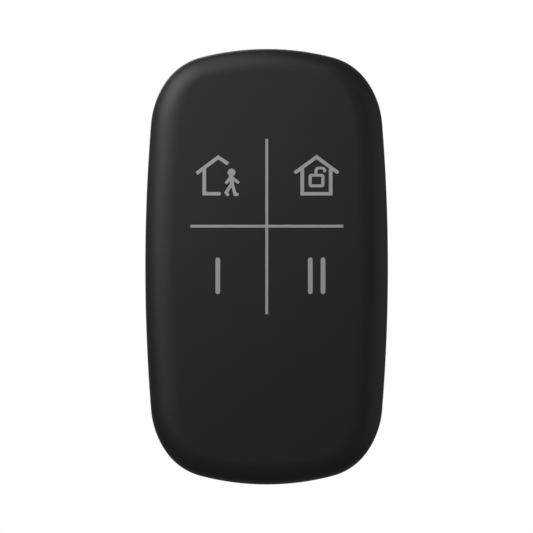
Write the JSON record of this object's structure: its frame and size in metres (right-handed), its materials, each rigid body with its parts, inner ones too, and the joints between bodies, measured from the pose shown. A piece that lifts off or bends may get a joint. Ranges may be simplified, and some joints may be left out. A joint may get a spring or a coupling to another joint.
{
  "type": "alarm key fob",
  "caption": "Pocket alarm remote: seamless soft keypad over a rounded case, coin-turned battery lid and key-ring bar at the rear.",
  "frame": {"origin": "on the flat rear face, under the middle of the fob's outline", "axes": "+Z out of the keypad face, +Y along the fob towards the end with the key-ring bar, +X to the right seen from the keypad side"},
  "size_m": [0.039, 0.07, 0.0125],
  "materials": {
    "soft_skin": "fine matt soft-touch elastomer",
    "case_plastic": "fine spark-eroded moulding texture",
    "lid_plastic": "fine spark-eroded moulding texture",
    "key_plastic": "plain moulded",
    "seal_rubber": "smooth",
    "screw_steel": "black zinc plated",
    "bar_steel": "nickel plated, polished by use",
    "cell_steel": "nickel plated",
    "contact_metal": "nickel plated spring sheet",
    "board_laminate": "solder resist",
    "switch_plastic": "moulded",
    "switch_metal": "stamped sheet",
    "stem_plastic": "moulded",
    "chip_plastic": "moulded epoxy",
    "crystal_can": "drawn can",
    "capacitor_ceramic": "fired, tinned ends",
    "resistor_ceramic": "glazed, tinned ends",
    "coil_ceramic": "fired, tinned ends",
    "antenna_wire": "enamelled copper",
    "lamp_resin": "cast resin",
    "guide_clear": "clear moulded, polished ends"
  },
  "bodies": {
    "case": {"front_skin": "soft_skin", "front_shell": "case_plastic", "rear_cover": "case_plastic", "case_seal": "seal_rubber", "case_screws": "screw_steel", "key_ring_bar": "bar_steel", "coin_cell": "cell_steel", "negative_contact": "contact_metal", "positive_contact": "contact_metal", "circuit_board": "board_laminate", "switch_housings": "switch_plastic", "switch_frames": "switch_metal", "away_switch_dome": "switch_metal", "disarm_switch_dome": "switch_metal", "part_one_switch_dome": "switch_metal", "part_two_switch_dome": "switch_metal", "radio_chip": "chip_plastic", "crystal": "crystal_can", "chip_capacitors": "capacitor_ceramic", "chip_resistors": "resistor_ceramic", "chip_coils": "coil_ceramic", "loop_antenna": "antenna_wire", "status_lamp": "lamp_resin", "light_guide": "guide_clear"},
    "away_key": {"away_key": "key_plastic"},
    "disarm_key": {"disarm_key": "key_plastic"},
    "part_one_key": {"part_one_key": "key_plastic"},
    "part_two_key": {"part_two_key": "key_plastic"},
    "away_stem": {"away_switch_stem": "stem_plastic"},
    "disarm_stem": {"disarm_switch_stem": "stem_plastic"},
    "part_one_stem": {"part_one_switch_stem": "stem_plastic"},
    "part_two_stem": {"part_two_switch_stem": "stem_plastic"},
    "lid": {"battery_lid": "lid_plastic", "lid_seal": "seal_rubber"}
  },
  "joints": [
    {"name": "away_key_press", "type": "slide", "parent": "case", "child": "away_key", "axis": [0, 0, -1], "range_m": [0, 0.0003], "stiffness_N_per_m": 2000, "springref_m": -0.0003, "deforming": ["front_skin"]},
    {"name": "disarm_key_press", "type": "slide", "parent": "case", "child": "disarm_key", "axis": [0, 0, -1], "range_m": [0, 0.0003], "stiffness_N_per_m": 2000, "springref_m": -0.0003, "deforming": ["front_skin"]},
    {"name": "part_one_key_press", "type": "slide", "parent": "case", "child": "part_one_key", "axis": [0, 0, -1], "range_m": [0, 0.0003], "stiffness_N_per_m": 2000, "springref_m": -0.0003, "deforming": ["front_skin"]},
    {"name": "part_two_key_press", "type": "slide", "parent": "case", "child": "part_two_key", "axis": [0, 0, -1], "range_m": [0, 0.0003], "stiffness_N_per_m": 2000, "springref_m": -0.0003, "deforming": ["front_skin"]},
    {"name": "away_stem_press", "type": "slide", "parent": "case", "child": "away_stem", "axis": [0, 0, -1], "range_m": [0, 0.0003], "deforming": ["away_switch_dome"]},
    {"name": "disarm_stem_press", "type": "slide", "parent": "case", "child": "disarm_stem", "axis": [0, 0, -1], "range_m": [0, 0.0003], "deforming": ["disarm_switch_dome"]},
    {"name": "part_one_stem_press", "type": "slide", "parent": "case", "child": "part_one_stem", "axis": [0, 0, -1], "range_m": [0, 0.0003], "deforming": ["part_one_switch_dome"]},
    {"name": "part_two_stem_press", "type": "slide", "parent": "case", "child": "part_two_stem", "axis": [0, 0, -1], "range_m": [0, 0.0003], "deforming": ["part_two_switch_dome"]},
    {"name": "battery_lid_turn", "type": "hinge", "parent": "case", "child": "lid", "pos_m": [0, -0.0155, 0], "axis": [0, 0, -1], "range_deg": [0, 40]}
  ],
  "couplings": [
    {"joint": "away_stem_press", "follows": "away_key_press", "ratio": 1},
    {"joint": "disarm_stem_press", "follows": "disarm_key_press", "ratio": 1},
    {"joint": "part_one_stem_press", "follows": "part_one_key_press", "ratio": 1},
    {"joint": "part_two_stem_press", "follows": "part_two_key_press", "ratio": 1}
  ]
}
